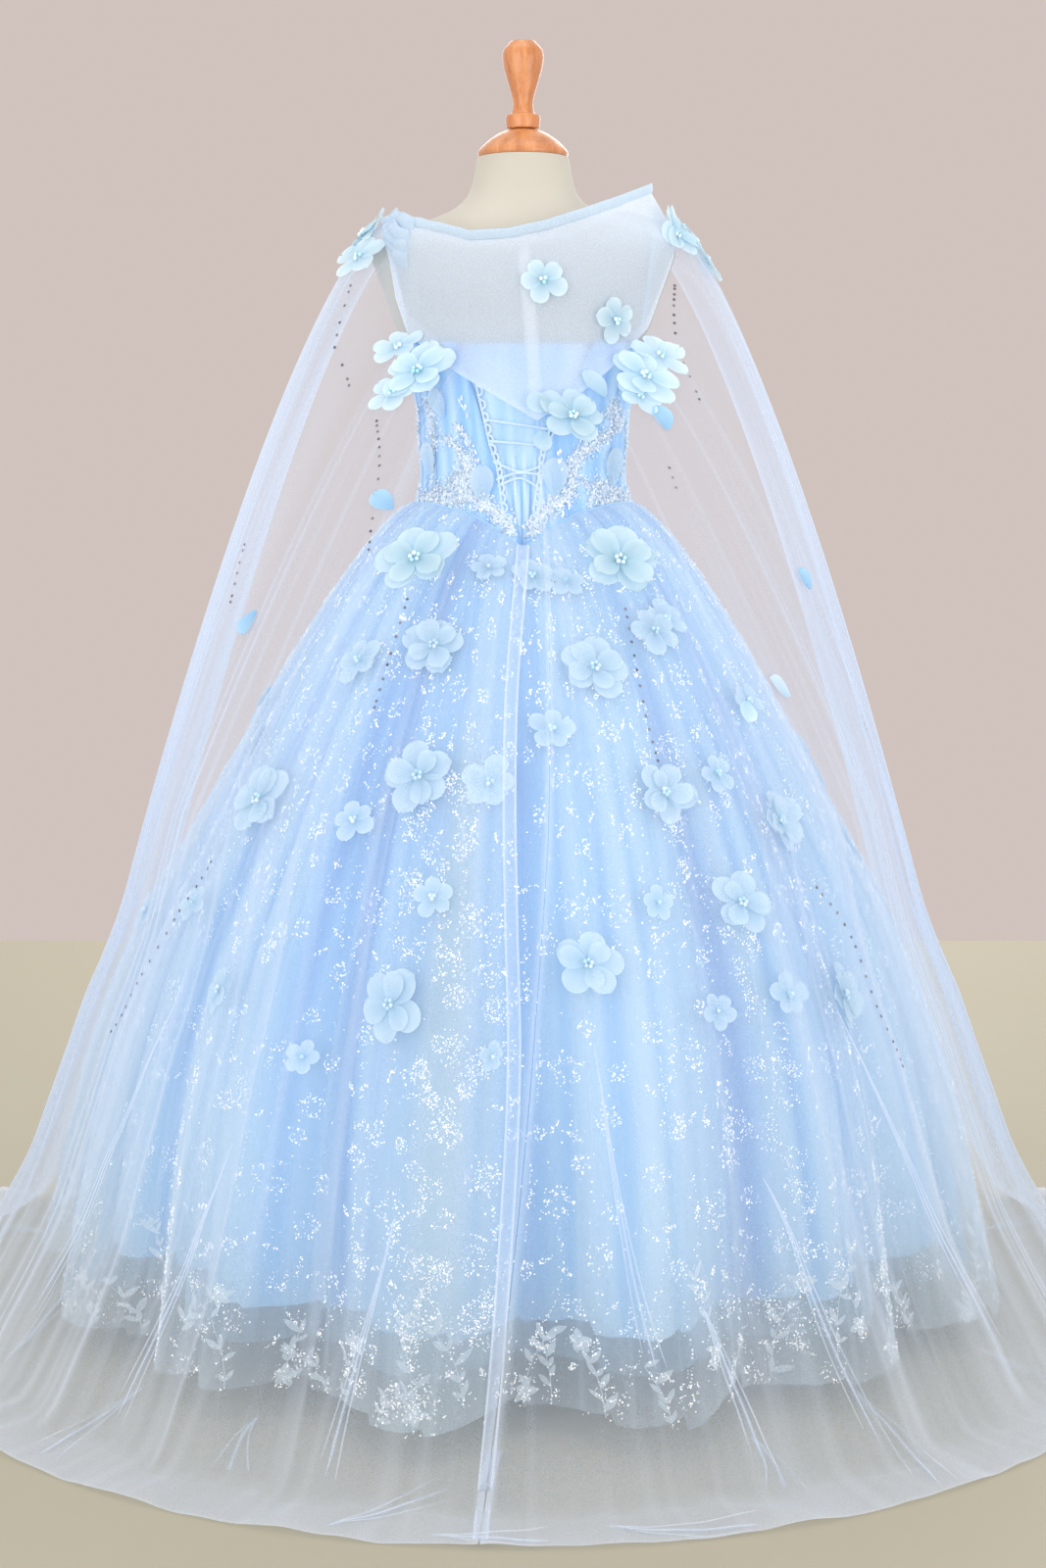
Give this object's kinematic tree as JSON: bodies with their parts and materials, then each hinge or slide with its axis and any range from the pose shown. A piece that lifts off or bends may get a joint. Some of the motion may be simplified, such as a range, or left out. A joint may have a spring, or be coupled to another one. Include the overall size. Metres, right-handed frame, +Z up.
{
  "type": "ball gown with cape on dress form",
  "caption": "Floor-length pale blue ball gown with lace-up back, petal flowers and a sheer floor-length cape, on a limbless dress form with a turned wooden finial.",
  "frame": {"origin": "centre of the stand's foot on the floor, under the pole", "axes": "+Z up; -Y out of the gown's centre back; +X to the wearer's right"},
  "size_m": [1.5998, 1.4051, 1.529],
  "materials": {
    "satin": "satin weave",
    "tulle": "glitter lace net",
    "sheer": "sheer organza",
    "organza": "crisp petals",
    "trim": "sequins, crystals and pearls",
    "cream": "smooth jersey",
    "wood": "varnished",
    "steel": "plain paint"
  },
  "bodies": {
    "root": {"bodice_back_left": "satin", "bodice_back_right": "satin", "bodice_front": "satin", "bodice_front_side_left": "satin", "bodice_front_side_right": "satin", "bodice_side_left": "satin", "bodice_side_right": "satin", "modesty_panel": "satin", "lacing": "satin", "strap_left": "satin", "strap_right": "satin", "skirt_lining": "satin", "skirt_overlay": "tulle", "cape_left": "sheer", "cape_right": "sheer", "yoke": "sheer", "neck_band": "sheer", "flower_01": "organza", "flower_02": "organza", "flower_03": "organza", "flower_04": "organza", "flower_05": "organza", "flower_06": "organza", "flower_07": "organza", "flower_08": "organza", "flower_09": "organza", "flower_10": "organza", "flower_11": "organza", "flower_12": "organza", "flower_13": "organza", "flower_14": "organza", "flower_15": "organza", "flower_16": "organza", "flower_17": "organza", "flower_18": "organza", "flower_19": "organza", "flower_20": "organza", "flower_21": "organza", "flower_22": "organza", "flower_23": "organza", "flower_24": "organza", "flower_25": "organza", "flower_26": "organza", "flower_27": "organza", "flower_28": "organza", "flower_29": "organza", "flower_30": "organza", "flower_31": "organza", "flower_32": "organza", "flower_33": "organza", "flower_34": "organza", "form_torso": "cream", "neck_cap": "wood", "finial": "wood", "stand_pole": "steel", "stand_base": "steel"}
  },
  "joints": []
}
